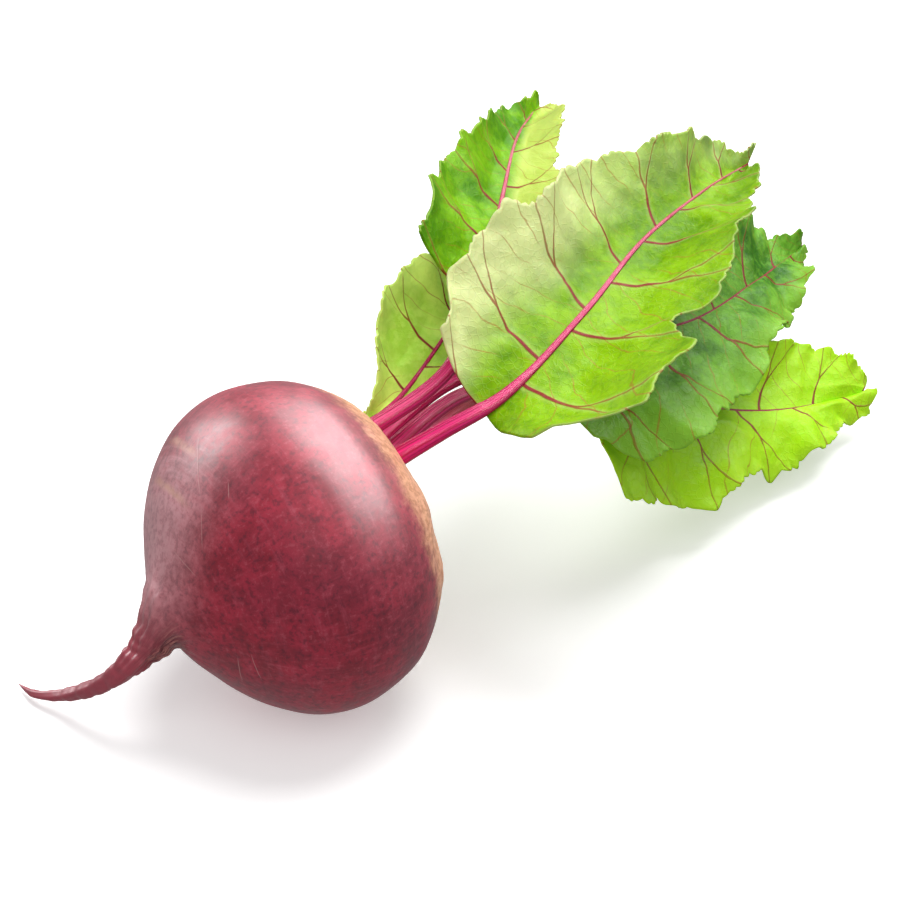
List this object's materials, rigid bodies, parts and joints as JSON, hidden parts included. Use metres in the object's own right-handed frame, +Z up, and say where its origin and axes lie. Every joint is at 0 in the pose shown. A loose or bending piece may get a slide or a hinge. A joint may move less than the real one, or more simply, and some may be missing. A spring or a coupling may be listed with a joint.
{
  "type": "beetroot",
  "caption": "Whole fresh beetroot lying on its side: a matt crimson globe with a thin curved tail, and crinkled green leaves on crimson stalks.",
  "frame": {"origin": "centre of the small flat spot under the root, where it rests on the surface", "axes": "+Z up from the surface; seen from above, +X runs along the root's axis from the tail to the crown; the axis rises 8.5 degrees towards the crown"},
  "size_m": [0.2363, 0.1307, 0.0973],
  "materials": {
    "root_skin": "matt, dry skin",
    "leaf_stalk": "satin, moist",
    "leaf_blade": "satin, slightly waxy"
  },
  "bodies": {
    "root": {"root": "root_skin", "leaf_1_stalk": "leaf_stalk", "leaf_1_blade": "leaf_blade", "leaf_2_stalk": "leaf_stalk", "leaf_2_blade": "leaf_blade", "leaf_3_stalk": "leaf_stalk", "leaf_3_blade": "leaf_blade", "leaf_4_stalk": "leaf_stalk", "leaf_4_blade": "leaf_blade", "leaf_5_stalk": "leaf_stalk", "leaf_5_blade": "leaf_blade", "leaf_6_stalk": "leaf_stalk"}
  },
  "joints": []
}
